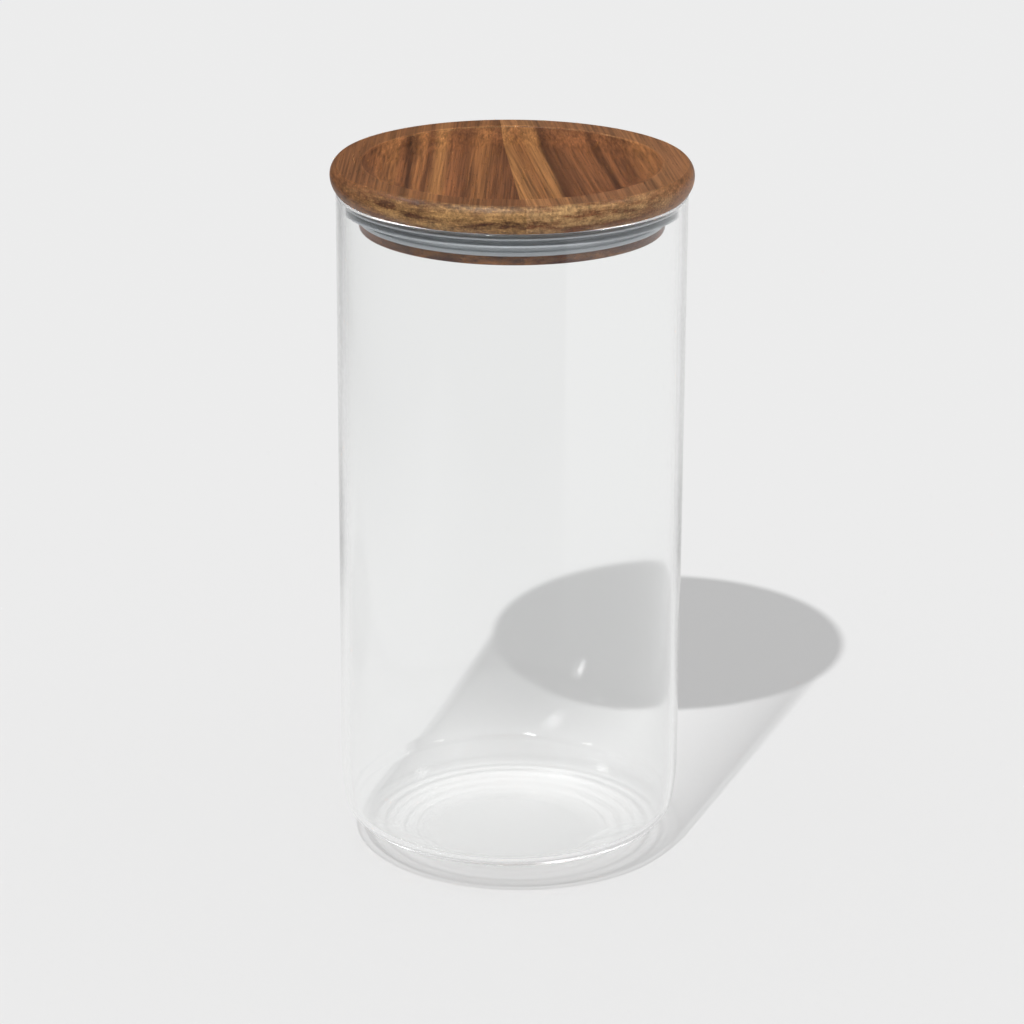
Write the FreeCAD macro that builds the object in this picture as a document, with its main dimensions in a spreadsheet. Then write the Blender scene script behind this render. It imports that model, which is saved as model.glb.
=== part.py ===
import FreeCAD, Part
import math
import os
import Sketcher

# A storage canister: a blown glass jar with a bowl-shaped bottom, closed by a turned wooden lid.
# The lid is glued from two boards and carries a finned silicone seal in a groove of its plug.
# Lengths are millimetres and angles degrees. The origin is the centre of the jar's underside, with +Z up.

# Driving dimensions
DIMENSIONS = {
    # glass jar
    "jar_radius": 50.0,
    "wall": 2.0,
    "jar_height": 199.2,
    "rim_chamfer": 0.5,
    "heel_start_height": 26.5,
    "heel_radius": 48.7,
    "heel_height": 13.2,
    "heel_wall_across": 1.64,
    "heel_wall_up": 0.44,
    "bowl_radius": 46.3,
    "bowl_height": 10.26,
    "bowl_wall_across": 0.75,
    "bowl_wall_up": 1.53,
    "standing_radius": 25.4,
    "floor_radius": 25.6,
    "base_thickness": 2.0,
    # wooden lid
    "lid_radius": 51.6,
    "lid_widest_height": 4.6,
    "lid_rim_height": 8.0,
    "lid_under_radius": 49.7,
    "lid_top_radius": 50.0,
    "dish_radius": 42.5,
    "dish_floor_radius": 30.0,
    "dish_depth": 3.6,
    "core_radius": 41.5,
    "groove_height": 7.65,
    "flange_radius": 43.9,
    "flange_height": 2.6,
    "flange_chamfer": 0.5,
    "glue_line_angle": 4.4,
    # silicone seal
    "seal_play": 0.05,
    "seal_end_gap": 0.1,
    "band_radius": 43.6,
    "foot_radius": 44.4,
    "foot_height": 1.2,
    "fin_radius": 47.95,
    "fin_pitch": 2.05,
    "fin_rise": 1.6,
    "fin_root": 1.2,
}
FIN_COUNT = 2

document = FreeCAD.newDocument("canister")
sheet = document.addObject("Spreadsheet::Sheet", "Sizes")
for row, (alias, number) in enumerate(DIMENSIONS.items(), start=1):
    sheet.set(f"A{row}", alias)
    sheet.set(f"B{row}", str(number))
    sheet.setAlias(f"B{row}", alias)
document.recompute()


class Size:
    """A length worked out from the sheet: its value now, and the expression that keeps it up to date."""

    def __init__(self, text, value):
        self.text = text
        self.value = value

    def __add__(self, other):
        return Size(f"{self.text} + {other.text}", self.value + other.value)

    def __sub__(self, other):
        return Size(f"{self.text} - ({other.text})", self.value - other.value)

    def times(self, count):
        return Size(f"{count} * ({self.text})", count * self.value)


def size(alias):
    return Size(f"Sizes.{alias}", DIMENSIONS[alias])


ZERO = Size("0", 0.0)

# The outline of a turned piece is a list of steps, each to a corner given by its radius and height.
# An arc leaves its start upright, with its centre level with it, or smoothly from the line before it.


def line(radius, height):
    return {"corner": (radius, height), "leaves": None}


def arc(radius, height, leaves):
    return {"corner": (radius, height), "leaves": leaves}


def arc_edge(before, start, finish, leaves):
    """The arc that turns left from start to finish, where before is the corner ahead of its start."""
    heading = FreeCAD.Vector(0, 1, 0) if leaves == "upright" else start - before
    across = FreeCAD.Vector(-heading.y, heading.x, 0)
    chord = finish - start
    centre = start + across * (chord.Length ** 2 / (2 * chord.dot(across)))
    circle = Part.Circle(centre, FreeCAD.Vector(0, 0, 1), (start - centre).Length)
    angles = [math.atan2(end.y - centre.y, end.x - centre.x) for end in (start, finish)]
    return Part.ArcOfCircle(circle, *angles)


def place_corner(sketch, edge, end, corner, number):
    """Hold a corner at its radius and height, or on the axis or base line where one of them is zero."""
    for kind, axis, word, length in (
        ("DistanceX", -2, "radius", corner[0]),
        ("DistanceY", -1, "height", corner[1]),
    ):
        if length is ZERO:
            sketch.addConstraint(Sketcher.Constraint("PointOnObject", edge, end, axis))
            continue
        index = sketch.addConstraint(Sketcher.Constraint(kind, -1, 1, edge, end, length.value))
        sketch.renameConstraint(index, f"corner_{number}_{word}")
        sketch.setExpression(f"Constraints.corner_{number}_{word}", length.text)


def draw_outline(sketch, steps):
    """Draw a closed outline of lines and arcs, and fix every corner and arc centre."""
    corners = [FreeCAD.Vector(step["corner"][0].value, step["corner"][1].value, 0) for step in steps]
    edges = []
    for number, step in enumerate(steps):
        before, start, finish = corners[number - 2], corners[number - 1], corners[number]
        if step["leaves"] is None:
            shape = Part.LineSegment(start, finish)
        else:
            shape = arc_edge(before, start, finish, step["leaves"])
        edges.append(sketch.addGeometry(shape, False))
    for number, step in enumerate(steps):
        edge = edges[number]
        joint = "Tangent" if step["leaves"] == "smooth" else "Coincident"
        sketch.addConstraint(Sketcher.Constraint(joint, edges[number - 1], 2, edge, 1))
        place_corner(sketch, edge, 2, step["corner"], number)
        if step["leaves"] == "upright":
            sketch.addConstraint(Sketcher.Constraint("Horizontal", edge, 3, edge, 1))


def turned_body(label, steps, turn_angle):
    """A solid turned about Z from a closed outline."""
    body = document.addObject("PartDesign::Body", label)
    sketch = body.newObject("Sketcher::SketchObject", f"{label}_outline")
    upright_plane = [plane for plane in body.Origin.OriginFeatures if plane.Role == "XZ_Plane"][0]
    sketch.AttachmentSupport = [(upright_plane, "")]
    sketch.MapMode = "FlatFace"
    draw_outline(sketch, steps)
    turning = body.newObject("PartDesign::Revolution", f"{label}_turning")
    turning.Profile = sketch
    turning.ReferenceAxis = (sketch, ["V_Axis"])
    turning.Angle = turn_angle
    document.recompute()
    return body


# Glass jar: the outline starts under the base, goes up the outside, over the rim and down inside.
# The bottom is a shallow bowl round a flat disc, and turns up into the wall in a tight rounded heel.
jar_radius = size("jar_radius")
inner_radius = jar_radius - size("wall")
jar_height = size("jar_height")
rim_chamfer = size("rim_chamfer")
heel_start_height = size("heel_start_height")
heel_radius = size("heel_radius")
heel_height = size("heel_height")
bowl_radius = size("bowl_radius")
bowl_height = size("bowl_height")
base_thickness = size("base_thickness")

jar = turned_body("glass_jar", [
    line(ZERO, ZERO),
    line(size("standing_radius"), ZERO),
    line(bowl_radius, bowl_height),
    arc(heel_radius, heel_height, "smooth"),
    line(jar_radius, heel_start_height),
    line(jar_radius, jar_height - rim_chamfer),
    line(jar_radius - rim_chamfer, jar_height),
    line(inner_radius + rim_chamfer, jar_height),
    line(inner_radius, jar_height - rim_chamfer),
    line(inner_radius, heel_start_height),
    line(heel_radius - size("heel_wall_across"), heel_height + size("heel_wall_up")),
    line(bowl_radius - size("bowl_wall_across"), bowl_height + size("bowl_wall_up")),
    line(size("floor_radius"), base_thickness),
    line(ZERO, base_thickness),
], 360)

# Wooden lid: plug flange, seal groove, rounded rim and dished top, with heights from the plug's underside
flange_radius = size("flange_radius")
flange_height = size("flange_height")
flange_chamfer = size("flange_chamfer")
core_radius = size("core_radius")
groove_height = size("groove_height")
plug_depth = flange_height + groove_height
lid_top = plug_depth + size("lid_rim_height")
dish_floor = lid_top - size("dish_depth")

lid_outline = [
    line(ZERO, ZERO),
    line(flange_radius - flange_chamfer, ZERO),
    line(flange_radius, flange_chamfer),
    line(flange_radius, flange_height),
    line(core_radius, flange_height),
    line(core_radius, plug_depth),
    line(size("lid_under_radius"), plug_depth),
    line(size("lid_radius"), plug_depth + size("lid_widest_height")),
    arc(size("lid_top_radius"), lid_top, "upright"),
    line(size("dish_radius"), lid_top),
    line(size("dish_floor_radius"), dish_floor),
    line(ZERO, dish_floor),
]

# Each board is half of the turned lid, with its flat face on the glue line
boards = []
for label, quarter_turn in (("lid_board_left", 90), ("lid_board_right", -90)):
    board = turned_body(label, lid_outline, 180)
    board.setExpression("Placement.Base.z", (jar_height - plug_depth).text)
    board.setExpression("Placement.Rotation.Angle", f"Sizes.glue_line_angle + {quarter_turn}")
    boards.append(board)

# Silicone seal: a band in the lid's groove, with a low foot and fins that slope up and out to the glass
seal_end_gap = size("seal_end_gap")
band_inner_radius = core_radius + size("seal_play")
band_radius = size("band_radius")
band_height = groove_height - seal_end_gap.times(2)
foot_radius = size("foot_radius")
foot_height = size("foot_height")
fin_radius = size("fin_radius")

seal_outline = [
    line(band_inner_radius, ZERO),
    line(foot_radius, ZERO),
    line(foot_radius, foot_height),
    line(band_radius, foot_height),
]
for fin in range(1, FIN_COUNT + 1):
    root_height = size("fin_pitch").times(fin)
    seal_outline += [
        line(band_radius, root_height),
        line(fin_radius, root_height + size("fin_rise")),
        line(band_radius, root_height + size("fin_root")),
    ]
seal_outline += [line(band_radius, band_height), line(band_inner_radius, band_height)]
seal = turned_body("seal_ring", seal_outline, 360)
seal.setExpression("Placement.Base.z", (jar_height - groove_height + seal_end_gap).text)

document.recompute()
for item in document.Objects:
    if "Invalid" in item.State or "Error" in item.State:
        raise RuntimeError(f"{item.Label} did not build: {item.State}")

os.makedirs("parts", exist_ok=True)
for body in [jar, seal] + boards:
    shape = body.Shape
    if shape.isNull() or not shape.isValid() or len(shape.Solids) != 1:
        raise RuntimeError(f"{body.Label} is not one sound solid")
    shape.exportStep(f"parts/{body.Label}.step")
    print(f"{body.Label}: {shape.Volume / 1000:.1f} cubic centimetres")
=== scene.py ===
import bpy
import math
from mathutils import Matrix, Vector


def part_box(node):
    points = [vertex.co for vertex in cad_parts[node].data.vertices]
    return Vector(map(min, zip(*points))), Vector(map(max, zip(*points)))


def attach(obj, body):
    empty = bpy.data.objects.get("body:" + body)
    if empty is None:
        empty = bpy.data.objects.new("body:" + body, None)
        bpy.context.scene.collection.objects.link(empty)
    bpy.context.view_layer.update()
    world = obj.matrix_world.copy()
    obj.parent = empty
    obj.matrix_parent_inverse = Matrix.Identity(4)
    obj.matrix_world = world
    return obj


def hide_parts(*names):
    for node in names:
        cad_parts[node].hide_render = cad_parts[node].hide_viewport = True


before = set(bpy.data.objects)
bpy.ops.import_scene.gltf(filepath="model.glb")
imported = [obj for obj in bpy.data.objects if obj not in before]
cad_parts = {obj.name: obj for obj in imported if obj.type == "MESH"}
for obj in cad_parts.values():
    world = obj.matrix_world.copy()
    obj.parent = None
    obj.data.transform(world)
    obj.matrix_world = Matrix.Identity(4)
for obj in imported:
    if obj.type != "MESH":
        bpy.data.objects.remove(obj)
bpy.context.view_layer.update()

# Glass jar: one piece of blown clear glass, about 2 mm thick all over, straight-sided with a tight heel.
# Below the heel the bottom runs in and down like a shallow bowl to the flat disc that it stands on.
# The rim is fire-polished. Sizes are millimetres, and the rim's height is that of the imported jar.
MM = 0.001
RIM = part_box("glass_jar")[1].z / MM
JAR_RADIUS, WALL, RIM_ROUND = 50, 2, 0.7
INNER_RADIUS = JAR_RADIUS - WALL
TAPER_TOP = 26.5
HEEL, INNER_HEEL = (48.7, 13.2), (47.15, 15)
BOWL_TOP, INNER_BOWL_TOP = (46.3, 10.26), (44.3, 11.18)
BOWL_FOOT, INNER_BOWL_FOOT = (27.85, 1.22), (27.65, 3.02)
DISC_RADIUS, INNER_DISC_RADIUS = 22.57, 23.25
jar_outline = [
    (0, 0), (DISC_RADIUS, 0), ("arc", *BOWL_FOOT, "tangent"), BOWL_TOP, ("arc", *HEEL, "tangent"),
    ("arc", JAR_RADIUS, TAPER_TOP, "level end"), (JAR_RADIUS, RIM - RIM_ROUND),
    ("arc", JAR_RADIUS - RIM_ROUND, RIM, "level start"), (INNER_RADIUS + RIM_ROUND, RIM),
    ("arc", INNER_RADIUS, RIM - RIM_ROUND, "level end"), (INNER_RADIUS, TAPER_TOP),
    ("arc", *INNER_HEEL, "level start"), ("arc", *INNER_BOWL_TOP, "tangent"), INNER_BOWL_FOOT,
    ("arc", INNER_DISC_RADIUS, WALL, "plumb end"), (0, WALL),
]


def draw_outline(name, steps):
    """Draw out one point, along straight lines and round arcs, into the outline of a turned piece.

    An arc runs on smoothly from the step before, or its centre is level or plumb with one of its ends."""
    bpy.ops.object.select_all(action="DESELECT")
    bpy.ops.mesh.primitive_plane_add(size=MM)
    piece = bpy.context.object
    piece.name = piece.data.name = name
    bpy.ops.object.mode_set(mode="EDIT")
    bpy.ops.mesh.merge(type="CENTER")
    pen = heading = Vector((0, 0, 0))
    for number, step in enumerate(steps):
        if step[0] == "arc":
            corner = Vector((step[1], 0, step[2])) * MM
            rule = step[3].split()
            chord, middle = corner - pen, (pen + corner) / 2
            across = Vector((-chord.z, 0, chord.x))
            anchor = corner if rule[-1] == "end" else pen
            if rule[0] == "tangent":
                square = Vector((-heading.z, 0, heading.x))
                centre = pen + square * chord.length_squared / (2 * square.dot(chord))
            elif rule[0] == "level":
                centre = middle + across * ((anchor.z - middle.z) / across.z)
            else:
                centre = middle + across * ((anchor.x - middle.x) / across.x)
            start, finish = pen - centre, corner - centre
            angle = math.atan2(start.z * finish.x - start.x * finish.z, start.dot(finish))
            pieces = max(6, round(abs(angle) / 0.1))
            bpy.ops.mesh.spin(steps=pieces, angle=angle, center=centre, axis=(0, -1, 0))
            heading = math.copysign(1, -angle) * Vector((-finish.z, 0, finish.x))
        else:
            corner = Vector((step[0], 0, step[1])) * MM
            heading = corner - pen
            if number:
                bpy.ops.mesh.extrude_vertices_move(TRANSFORM_OT_translate={"value": heading})
            else:
                bpy.ops.transform.translate(value=heading)
        pen = corner
    return piece


def turn_outline(piece, segments):
    """Turn the outline about the Z axis into a closed, smooth solid."""
    bpy.ops.mesh.select_all(action="SELECT")
    bpy.ops.mesh.spin(steps=segments, angle=math.radians(360), center=(0, 0, 0), axis=(0, 0, 1))
    bpy.ops.mesh.select_all(action="SELECT")
    bpy.ops.mesh.remove_doubles(threshold=1e-6)
    bpy.ops.mesh.normals_make_consistent(inside=False)
    bpy.ops.object.mode_set(mode="OBJECT")
    bpy.ops.object.shade_smooth_by_angle(angle=math.radians(30))


def new_material(name):
    material = bpy.data.materials.new(name)
    material.use_nodes = True
    material.node_tree.nodes.clear()
    return material, material.node_tree


def add_node(tree, kind, feeds=None, **settings):
    """Add a node, with its settings, and each input set to a value or linked from another node."""
    node = tree.nodes.new(f"ShaderNode{kind}")
    for name, value in settings.items():
        setattr(node, name, value)
    for socket, value in (feeds or {}).items():
        if isinstance(value, bpy.types.NodeSocket):
            tree.links.new(value, node.inputs[socket])
        else:
            node.inputs[socket].default_value = value
    return node


def calculate(tree, operation, first, second, clamp=False):
    """One step of arithmetic on two numbers."""
    node = add_node(tree, "Math", {0: first, 1: second}, operation=operation, use_clamp=clamp)
    return node.outputs["Value"]


def remap(tree, number, low, high, at_low=0.0, at_high=1.0):
    """Carry a number from one range into another, and hold it at the ends."""
    node = add_node(tree, "MapRange", {"Value": number, 1: low, 2: high, 3: at_low, 4: at_high})
    return node.outputs["Result"]


def shade(tree, colour, by):
    """A colour multiplied by a number or by another colour."""
    node = add_node(tree, "VectorMath", {0: colour, 1: by}, operation="MULTIPLY")
    return node.outputs["Vector"]


def grey(level):
    return (level, level, level, 1)


def colour_ramp(tree, number, stops, interpolation="LINEAR"):
    """A colour for each number from 0 to 1, between stops that are each a place and a colour."""
    node = add_node(tree, "ValToRGB", {"Fac": number})
    node.color_ramp.interpolation = interpolation
    elements = node.color_ramp.elements
    for order, (spot, colour) in enumerate(stops):
        stop = elements[order] if order < 2 else elements.new(spot)
        stop.position, stop.color = spot, colour
    return node.outputs["Color"]


jar = draw_outline("jar", jar_outline)
turn_outline(jar, 512)

clear_glass, tree = new_material("clear_glass")
place = add_node(tree, "TexCoord")
upright = add_node(tree, "Mapping", {"Vector": place.outputs["Object"], "Scale": (1, 1, 0.02)})
waves = add_node(tree, "TexNoise", {"Vector": upright.outputs["Vector"], "Scale": 60.0, "Detail": 1.0})
ripple = add_node(tree, "Bump", {"Height": waves.outputs["Fac"], "Strength": 0.002, "Distance": 0.002})
glass = add_node(tree, "BsdfPrincipled", {
    "Base Color": (0.994, 0.998, 0.996, 1), "Roughness": 0.04, "IOR": 1.47, "Transmission Weight": 1.0,
    "Normal": ripple.outputs["Normal"],
})

# Lamp light crosses the glass as shadow rays, and the shadow that the glass casts is painted by place on it.
# The wall dims the light at its edges, more at the front than at the back, and as painted shade high on the
# left.
# The bottom is painted to let more through, standing in for light that it gathers, apart from two rings of
# the bowl, the bowl's edge and the heel, painted as dark lines that stand in for light they turn aside.
edge = add_node(tree, "LayerWeight", {"Blend": 0.35})
edge_shade = colour_ramp(tree, edge.outputs["Facing"], [(0.0, grey(0.95)), (1.0, grey(0.55))])
spot = add_node(tree, "SeparateXYZ", {0: place.outputs["Object"]})
leftness = remap(tree, spot.outputs["X"], 0.0, -35 * MM)
painted_upper_left_loss = remap(tree, spot.outputs["Z"], 120 * MM, 190 * MM, 0.0, 0.42)
kept = calculate(tree, "SUBTRACT", 1.0, calculate(tree, "MULTIPLY", leftness, painted_upper_left_loss))
front_to_back = remap(tree, spot.outputs["Y"], -JAR_RADIUS * MM, JAR_RADIUS * MM, 0.9, 1.19)
wall_shade = shade(tree, edge_shade, calculate(tree, "MULTIPLY", kept, front_to_back))
BOTTOM_HEIGHT, GATHERING = 30, 1.65
disc_level, bowl_level, ring_level, heel_level, wall_level = 0.64, 0.78, 0.58, 0.66, 0.72
bottom_levels = [(0.0, disc_level)]
for ring_up in (3.6, 5.7):
    bottom_levels += [(ring_up - 0.3, bowl_level), (ring_up, ring_level), (ring_up + 0.3, bowl_level)]
bottom_levels += [
    (8.4, 0.76), (9.0, 0.42), (9.6, wall_level), (10.8, heel_level), (12.0, 0.5), (13.8, heel_level),
    (24.0, wall_level),
]
height = remap(tree, spot.outputs["Z"], 0.0, BOTTOM_HEIGHT * MM)
bottom_shade = colour_ramp(tree, height, [(up / BOTTOM_HEIGHT, grey(level)) for up, level in bottom_levels])
painted_bottom_light = shade(tree, bottom_shade, (GATHERING, GATHERING, GATHERING))
passing = add_node(tree, "BsdfTransparent", {"Color": shade(tree, wall_shade, painted_bottom_light)})
light_path = add_node(tree, "LightPath")
either = add_node(tree, "MixShader", {
    0: light_path.outputs["Is Shadow Ray"], 1: glass.outputs["BSDF"], 2: passing.outputs["BSDF"],
})
add_node(tree, "OutputMaterial", {"Surface": either.outputs["Shader"]})
jar.data.materials.append(clear_glass)
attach(jar, "jar")
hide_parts("glass_jar")

# Silicone seal: a moulded ring of translucent silicone rubber, stretched into the groove of the lid's plug.
# Above a low foot two thin fins slope up and out to the glass.
SEAL_FOOT, SEAL_TOP = RIM - 7.55, RIM - 0.1
BAND_INNER_RADIUS, BAND_RADIUS = 41.55, 43.6
FOOT_RADIUS, FOOT_HEIGHT = 44.4, 1.2
FIN_RADIUS, FIN_PITCH, FIN_ROOT, FIN_RISE = 47.95, 2.05, 1.2, 1.6
SEAL_ROUND = 0.3
seal_outline = [
    (BAND_INNER_RADIUS, SEAL_FOOT), (FOOT_RADIUS - SEAL_ROUND, SEAL_FOOT),
    ("arc", FOOT_RADIUS, SEAL_FOOT + SEAL_ROUND, "level end"),
    (FOOT_RADIUS, SEAL_FOOT + FOOT_HEIGHT - SEAL_ROUND),
    ("arc", FOOT_RADIUS - SEAL_ROUND, SEAL_FOOT + FOOT_HEIGHT, "level start"),
    (BAND_RADIUS, SEAL_FOOT + FOOT_HEIGHT),
]
for fin in (1, 2):
    root = SEAL_FOOT + FIN_PITCH * fin
    tip = root + FIN_RISE
    seal_outline += [
        (BAND_RADIUS, root), (FIN_RADIUS - SEAL_ROUND, tip - SEAL_ROUND),
        ("arc", FIN_RADIUS, tip, "level end"),
        ("arc", FIN_RADIUS - SEAL_ROUND, tip + SEAL_ROUND, "level start"), (BAND_RADIUS, root + FIN_ROOT),
    ]
seal_outline += [(BAND_RADIUS, SEAL_TOP), (BAND_INNER_RADIUS, SEAL_TOP), (BAND_INNER_RADIUS, SEAL_FOOT)]
seal = draw_outline("seal", seal_outline)
turn_outline(seal, 192)

silicone, tree = new_material("silicone")
place = add_node(tree, "TexCoord")
haze = add_node(tree, "TexNoise", {"Vector": place.outputs["Object"], "Scale": 60.0, "Detail": 2.0})
milky = colour_ramp(tree, haze.outputs["Fac"], [(0.0, (0.50, 0.53, 0.56, 1)), (1.0, (0.60, 0.63, 0.66, 1))])
rubber = add_node(tree, "BsdfPrincipled", {
    "Base Color": milky, "Roughness": 0.3, "IOR": 1.41, "Transmission Weight": 0.3,
})
add_node(tree, "OutputMaterial", {"Surface": rubber.outputs["BSDF"]})
seal.data.materials.append(silicone)
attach(seal, "seal")
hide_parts("seal_ring")

# Left board of the lid: solid hardwood with its grain running front to back, edge-glued to its neighbour.
# The glued blank is turned on a lathe to a dished top, a rounded rim and a grooved plug, then oiled.
LID_RADIUS, LID_WIDEST, LID_TOP, LID_SEAT = 51.6, RIM + 4.6, RIM + 8.0, RIM + 0.05
LID_UNDER_RADIUS, LID_TOP_RADIUS = 49.7, 50.0
DISH_RADIUS, LIP_WIDTH, LIP_DROP = 42.8, 0.5, 0.3
DISH_FLOOR_RADIUS, DISH_FLOOR = 30, RIM + 4.4
CORE_RADIUS, FLANGE_RADIUS, FLANGE_ROUND = 41.5, 43.9, 0.5
PLUG_FOOT, FLANGE_TOP = RIM - 10.25, RIM - 7.65
GLUE_ANGLE = math.radians(4.4)
lid_outline = [
    (0, PLUG_FOOT), (FLANGE_RADIUS - FLANGE_ROUND, PLUG_FOOT),
    ("arc", FLANGE_RADIUS, PLUG_FOOT + FLANGE_ROUND, "level end"), (FLANGE_RADIUS, FLANGE_TOP),
    (CORE_RADIUS, FLANGE_TOP), (CORE_RADIUS, LID_SEAT), (LID_UNDER_RADIUS, LID_SEAT),
    ("arc", LID_RADIUS, LID_WIDEST, "level end"), ("arc", LID_TOP_RADIUS, LID_TOP, "level start"),
    (DISH_RADIUS, LID_TOP), ("arc", DISH_RADIUS - LIP_WIDTH, LID_TOP - LIP_DROP, "plumb start"),
    ("arc", DISH_FLOOR_RADIUS, DISH_FLOOR, "plumb end"), (0, DISH_FLOOR),
]


def turn_board(name, side):
    """Turn the lid about Z and cut away the other board's half at the glue line."""
    board = draw_outline(name, lid_outline)
    turn_outline(board, 256)
    bpy.ops.object.mode_set(mode="EDIT")
    bpy.ops.mesh.select_all(action="SELECT")
    across = (side * math.cos(GLUE_ANGLE), side * math.sin(GLUE_ANGLE), 0)
    bpy.ops.mesh.bisect(plane_co=(0, 0, 0), plane_no=across, clear_inner=True)
    bpy.ops.mesh.edge_face_add()
    bpy.ops.mesh.select_all(action="SELECT")
    bpy.ops.mesh.normals_make_consistent(inside=False)
    bpy.ops.object.mode_set(mode="OBJECT")
    bpy.ops.object.shade_smooth_by_angle(angle=math.radians(30))
    return board


BARK, UMBER, RUSSET, OCHRE, HONEY = (
    (0.075, 0.027, 0.010, 1), (0.138, 0.050, 0.018, 1), (0.202, 0.074, 0.026, 1),
    (0.268, 0.106, 0.034, 1), (0.345, 0.150, 0.048, 1),
)


def board_wood(name, turn, streaks, heart, ring_tone, end_tones):
    """Oiled hardwood: dark and golden streaks, growth rings, fine fibres and pores, all along the grain.

    Each streak is its place across the board in millimetres and its tone; heart is the middle of the rings,
    ring_tone colours the flat ring round the dish, and end_tones are the darkest and palest end grain."""
    wood, tree = new_material(name)
    place = add_node(tree, "TexCoord")
    spot = place.outputs["Object"]
    grain = add_node(tree, "Mapping", {"Vector": spot, "Rotation": (0, 0, math.radians(turn))})
    along = grain.outputs["Vector"]

    # Streaks across the board that sway a little along the grain
    slow = add_node(tree, "Mapping", {"Vector": along, "Scale": (1, 0.12, 1)})
    sway = add_node(tree, "TexNoise", {"Vector": slow.outputs["Vector"], "Scale": 160.0, "Detail": 4.0})
    bend = add_node(tree, "VectorMath", {0: sway.outputs["Color"], 1: (0.005, 0, 0.0012), 2: along},
                    operation="MULTIPLY_ADD")
    bent = add_node(tree, "SeparateXYZ", {0: bend.outputs["Vector"]})
    half_width, shift = 53, 2.5
    across = remap(tree, bent.outputs["X"], (shift - half_width) * MM, (shift + half_width) * MM)
    stops = [((middle + half_width) / (2 * half_width), colour) for middle, colour in streaks]
    streaked = colour_ramp(tree, across, stops, "EASE")

    # Growth rings about the heart of the tree
    section = add_node(tree, "VectorMath", {0: bend.outputs["Vector"], 1: (1, 0, 1), 2: heart},
                       operation="MULTIPLY_ADD")
    ring = add_node(tree, "VectorMath", {0: section.outputs["Vector"]}, operation="LENGTH")
    band = add_node(tree, "TexNoise", {
        "W": ring.outputs["Value"], "Scale": 380.0, "Detail": 3.0, "Roughness": 0.6,
    }, noise_dimensions="1D")
    ringed = shade(tree, streaked, remap(tree, band.outputs["Fac"], 0.3, 0.7, 0.78, 1.2))

    # The flat ring round the dish, rubbed to one tone, and a painted highlight along the dish's lip
    height = add_node(tree, "SeparateXYZ", {0: spot}).outputs["Z"]
    above = remap(tree, height, (RIM - 0.3) * MM, (RIM + 0.3) * MM)
    flat = shade(tree, spot, (1, 1, 0))
    radius = add_node(tree, "VectorMath", {0: flat}, operation="LENGTH").outputs["Value"]
    rubbed = calculate(tree, "MULTIPLY", remap(tree, radius, 42 * MM, 43.5 * MM, 0.0, 0.48), above)
    worn = add_node(tree, "Mix", {"Factor": rubbed, "A": ringed, "B": ring_tone}, data_type="RGBA")
    plain = 0.72
    lip = remap(tree, radius, 42 * MM, 43.4 * MM)
    painted_lip_highlight = colour_ramp(tree, lip, [(0.0, grey(plain)), (0.45, grey(1.0)), (1.0, grey(plain))])
    lip_highlight_unscaled = shade(tree, worn.outputs["Result"], painted_lip_highlight)
    with_lip_highlight = add_node(tree, "VectorMath", {0: lip_highlight_unscaled, 3: 1 / plain}, operation="SCALE")

    # End grain, where the surface faces along the boards
    layers = add_node(tree, "Mapping", {"Vector": along, "Scale": (0.35, 0.35, 2)})
    mottle = add_node(tree, "TexNoise", {
        "Vector": layers.outputs["Vector"], "Scale": 200.0, "Detail": 6.0, "Roughness": 0.7,
    })
    end_tone = colour_ramp(tree, mottle.outputs["Fac"], list(zip((0.42, 0.6), end_tones)))
    facing = add_node(tree, "SeparateXYZ", {0: place.outputs["Normal"]})
    outward = add_node(tree, "Math", {0: facing.outputs["Y"]}, operation="ABSOLUTE").outputs["Value"]
    end_grain = remap(tree, outward, 0.35, 0.75)
    base = add_node(tree, "Mix", {"Factor": end_grain, "A": with_lip_highlight.outputs["Vector"], "B": end_tone},
                    data_type="RGBA")
    # Below the rim the plug is painted darker and warmer, as shade inside the jar under the lid.
    painted_plug_shade = add_node(tree, "Mix", {"Factor": above, "A": (0.62, 0.44, 0.30, 1), "B": (1, 1, 1, 1)},
                    data_type="RGBA")
    plug_shaded = shade(tree, base.outputs["Result"], painted_plug_shade.outputs["Result"])

    # Fine fibres, dark lines and pores; on the slopes the pores are painted pale, as glints of light
    thin = add_node(tree, "Mapping", {"Vector": along, "Scale": (1, 0.015, 1)})
    fibre = add_node(tree, "TexNoise", {"Vector": thin.outputs["Vector"], "Scale": 2000.0, "Detail": 3.0})
    line = add_node(tree, "TexNoise", {"Vector": thin.outputs["Vector"], "Scale": 800.0, "Detail": 4.0})
    fibred = shade(tree, plug_shaded, remap(tree, fibre.outputs["Fac"], 0.32, 0.68, 0.68, 1.3))
    lined = shade(tree, fibred, remap(tree, line.outputs["Fac"], 0.3, 0.55, 0.62, 1.04))
    cells = add_node(tree, "TexVoronoi", {"Vector": slow.outputs["Vector"], "Scale": 1500.0})
    pore_tone_and_glint = remap(tree, outward, 0.1, 0.22, 0.5, 1.6)
    pores_and_glints = remap(tree, cells.outputs["Distance"], 0.08, 0.24, pore_tone_and_glint, 1.0)
    relief = calculate(tree, "ADD", fibre.outputs["Fac"], pores_and_glints)
    bump = add_node(tree, "Bump", {"Height": relief, "Strength": 0.25, "Distance": 0.0003})
    surface = add_node(tree, "BsdfPrincipled", {
        "Base Color": shade(tree, lined, pores_and_glints), "Specular IOR Level": 0.25, "Normal": bump.outputs["Normal"],
        "Roughness": remap(tree, fibre.outputs["Fac"], 0.0, 1.0, 0.36, 0.52),
    })
    add_node(tree, "OutputMaterial", {"Surface": surface.outputs["BSDF"]})
    return wood


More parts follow.
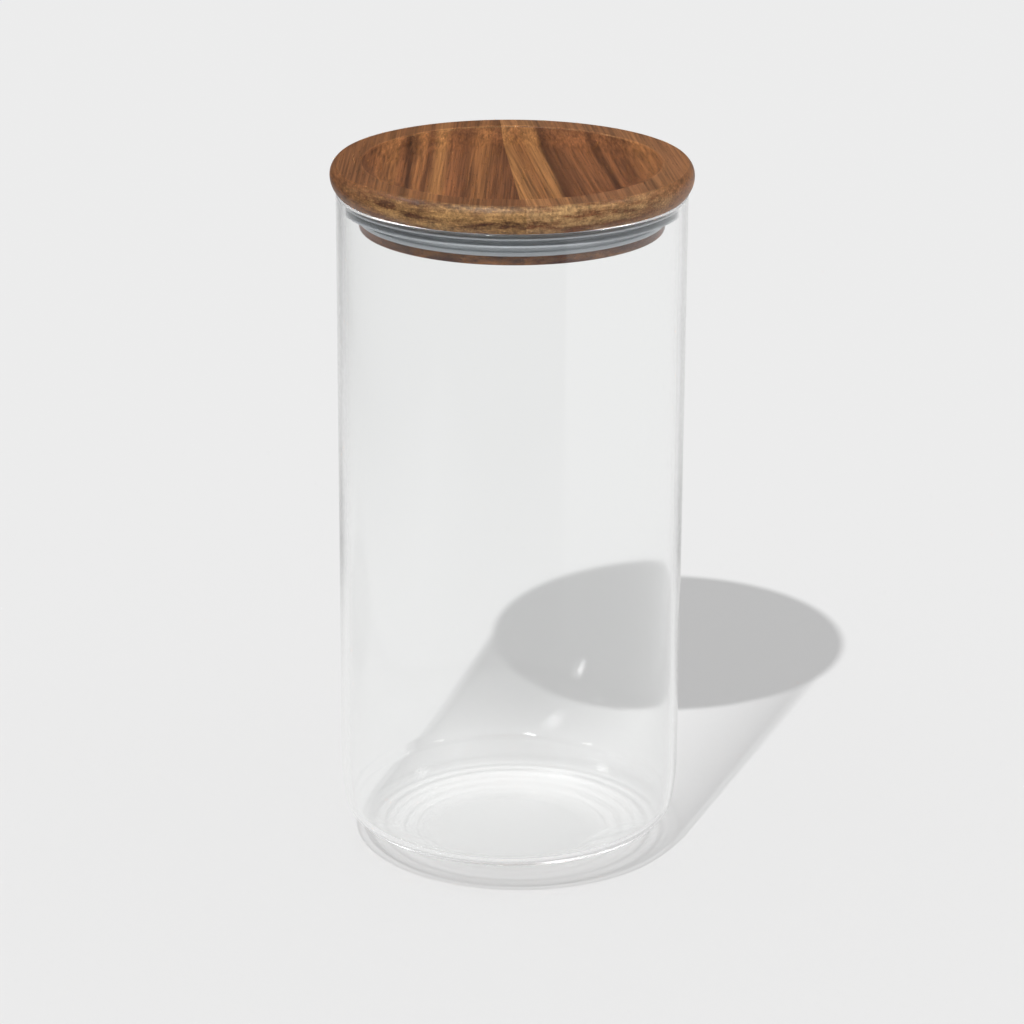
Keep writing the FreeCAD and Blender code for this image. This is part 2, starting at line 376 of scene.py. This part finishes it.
board_left = turn_board("board_left", -1)
left_streaks = [
    (-52, RUSSET), (-46, UMBER), (-41, RUSSET), (-34, OCHRE), (-31.5, RUSSET), (-29.5, BARK), (-27, OCHRE),
    (-24.5, UMBER), (-21, HONEY), (-18, RUSSET), (-14, UMBER), (-9, OCHRE), (-5.5, RUSSET), (-2, UMBER),
    (6, UMBER),
]
board_left.data.materials.append(board_wood(
    "left_board_wood", turn=1.3, streaks=left_streaks, heart=(0.02, 0, -0.14),
    ring_tone=(0.215, 0.092, 0.034, 1), end_tones=(BARK, (0.33, 0.18, 0.066, 1)),
))
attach(board_left, "lid")
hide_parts("lid_board_left")

# Right board of the lid: the same hardwood, with its grain a little more slanted and its end grain paler.
# It is glued along the left board's edge and turned together with it.
board_right = turn_board("board_right", 1)
right_streaks = [
    (-6, OCHRE), (1, HONEY), (6, OCHRE), (9.5, HONEY), (12.5, BARK), (15.5, UMBER), (20, RUSSET),
    (25, RUSSET), (27, BARK), (29, RUSSET), (33, UMBER), (39, OCHRE), (45, RUSSET), (52, OCHRE),
]
board_right.data.materials.append(board_wood(
    "right_board_wood", turn=-7, streaks=right_streaks, heart=(-0.03, 0, -0.15),
    ring_tone=(0.300, 0.140, 0.060, 1), end_tones=(UMBER, (0.36, 0.21, 0.088, 1)),
))
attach(board_right, "lid")
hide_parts("lid_board_right")

# Set: a plain pale floor under a small lamp at the front left, with soft even light all round.
# In mirror reflections the floor in front and on the left is painted dark, standing in for the unlit part of
# a studio.
bpy.ops.object.select_all(action="DESELECT")
bpy.ops.mesh.primitive_plane_add(size=6, location=(0, 0, -0.0003))
floor = bpy.context.object
floor.name = "floor"


def mirror_rays(tree):
    """1 for rays that a surface mirrors, and 0 for those through the glass, which count as glossy too."""
    rays = add_node(tree, "LightPath")
    through = rays.outputs["Is Transmission Ray"]
    return calculate(tree, "SUBTRACT", rays.outputs["Is Glossy Ray"], through, clamp=True)


pale, tree = new_material("pale_floor")
place = add_node(tree, "TexCoord")
spot = add_node(tree, "SeparateXYZ", {0: place.outputs["Object"]})
front = remap(tree, spot.outputs["Y"], -0.16, -0.5)
slant = add_node(tree, "VectorMath", {0: place.outputs["Object"], 1: (0.818, 0.575, 0)},
                 operation="DOT_PRODUCT")
front_left = calculate(tree, "MULTIPLY", front, remap(tree, slant.outputs["Value"], 0.0, -0.03))
painted_dark_reflection = calculate(tree, "MAXIMUM", front_left, remap(tree, spot.outputs["X"], -0.25, -0.5))
tone = remap(tree, calculate(tree, "MULTIPLY", painted_dark_reflection, mirror_rays(tree)), 0.0, 1.0, 0.8, 0.02)
paint = add_node(tree, "BsdfDiffuse", {"Color": tone})
add_node(tree, "OutputMaterial", {"Surface": paint.outputs["BSDF"]})
floor.data.materials.append(pale)

# The lamp's beam is stronger towards the sides, up to about 70 degrees, so that the floor is lit evenly.
# Light that the floor has scattered doesn't find the lamp again through the glass.
lamp = bpy.data.lights.new("lamp", "POINT")
lamp.energy = 35.4
lamp.shadow_soft_size = 0.012
lamp.use_nodes = True
tree = lamp.node_tree
tree.nodes.clear()
beam = add_node(tree, "TexCoord")
down = add_node(tree, "SeparateXYZ", {0: beam.outputs["Normal"]})
fall = calculate(tree, "MAXIMUM", calculate(tree, "MULTIPLY", down.outputs["Z"], -1.0), 0.35)
even = calculate(tree, "POWER", fall, -3.0)
rays = add_node(tree, "LightPath")
through = calculate(tree, "MAXIMUM", rays.outputs["Is Glossy Ray"], rays.outputs["Is Transmission Ray"])
scattered = calculate(tree, "GREATER_THAN", rays.outputs["Diffuse Depth"], 0.5)
once = calculate(tree, "SUBTRACT", 1.0, calculate(tree, "MULTIPLY", through, scattered))
glow = add_node(tree, "Emission", {"Strength": calculate(tree, "MULTIPLY", even, once)})
add_node(tree, "OutputLight", {"Surface": glow.outputs["Emission"]})
lamp_place = bpy.data.objects.new("lamp", lamp)
lamp_place.location = (-0.3393, -1.0107, 1.4943)
bpy.context.collection.objects.link(lamp_place)

# Softboxes, round the lamp and high on either side, seen only where the object mirrors them.
for name, spot in (
    ("softbox_front", lamp_place.location),
    ("softbox_left", (-1.1, -0.15, 1.35)),
    ("softbox_right", (1.08, -0.31, 1.4)),
):
    bpy.ops.object.select_all(action="DESELECT")
    bpy.ops.mesh.primitive_uv_sphere_add(segments=48, ring_count=24, radius=0.09, location=spot)
    softbox = bpy.context.object
    softbox.name = name
    bright, tree = new_material(f"{name}_light")
    rays = add_node(tree, "LightPath")
    first = calculate(tree, "LESS_THAN", rays.outputs["Diffuse Depth"], 0.5)
    shine = add_node(tree, "Emission", {"Strength": calculate(tree, "MULTIPLY", first, 130.0)})
    add_node(tree, "OutputMaterial", {"Surface": shine.outputs["Emission"]})
    bright.cycles.emission_sampling = "NONE"
    softbox.data.materials.append(bright)
    softbox.visible_camera = softbox.visible_diffuse = softbox.visible_shadow = False

# The world gives soft light from all sides. Where it is seen it is as pale as the floor, and in mirror
# reflections its far side is painted dim.
scene = bpy.context.scene
scene.world = world = bpy.data.worlds.new("studio")
world.use_nodes = True
world.cycles.sampling_method = "NONE"
tree = world.node_tree
tree.nodes.clear()
rays = add_node(tree, "LightPath")
seen = calculate(tree, "ADD", rays.outputs["Is Camera Ray"], rays.outputs["Is Glossy Ray"])
shown = calculate(tree, "ADD", seen, rays.outputs["Is Transmission Ray"], clamp=True)
direct = calculate(tree, "LESS_THAN", rays.outputs["Diffuse Depth"], 0.5)
pale_seen = calculate(tree, "MULTIPLY", shown, direct)
bearing = add_node(tree, "TexCoord")
bearing_parts = add_node(tree, "SeparateXYZ", {0: bearing.outputs["Generated"]})
behind = remap(tree, bearing_parts.outputs["Y"], 0.1, 0.6)
level = remap(tree, calculate(tree, "MULTIPLY", behind, mirror_rays(tree)), 0.0, 1.0, 0.823, 0.1)
fill = add_node(tree, "Background", {"Color": (0.65, 0.65, 0.65, 1), "Strength": 1.0})
backdrop = add_node(tree, "Background", {"Color": (1, 1, 1, 1), "Strength": level})
both = add_node(tree, "MixShader", {0: pale_seen, 1: fill.outputs[0], 2: backdrop.outputs[0]})
add_node(tree, "OutputWorld", {"Surface": both.outputs["Shader"]})
scene.view_settings.view_transform = "Standard"
scene.cycles.max_bounces = scene.cycles.glossy_bounces = scene.cycles.transmission_bounces = 128
scene.cycles.transparent_max_bounces = 16
scene.cycles.blur_glossy = 0

# Camera: a long lens, a metre away and looking down on the lid.
camera = bpy.data.cameras.new("camera")
camera.lens = 129.6
camera.sensor_width = 36
camera.shift_x = 0.0014
camera_place = bpy.data.objects.new("camera", camera)
camera_place.location = (0, -1.0138, 0.4617)
camera_place.rotation_mode = "ZYX"
camera_place.rotation_euler = (math.radians(90 - 19.53), 0, 0.0049)
bpy.context.collection.objects.link(camera_place)
scene.camera = camera_place
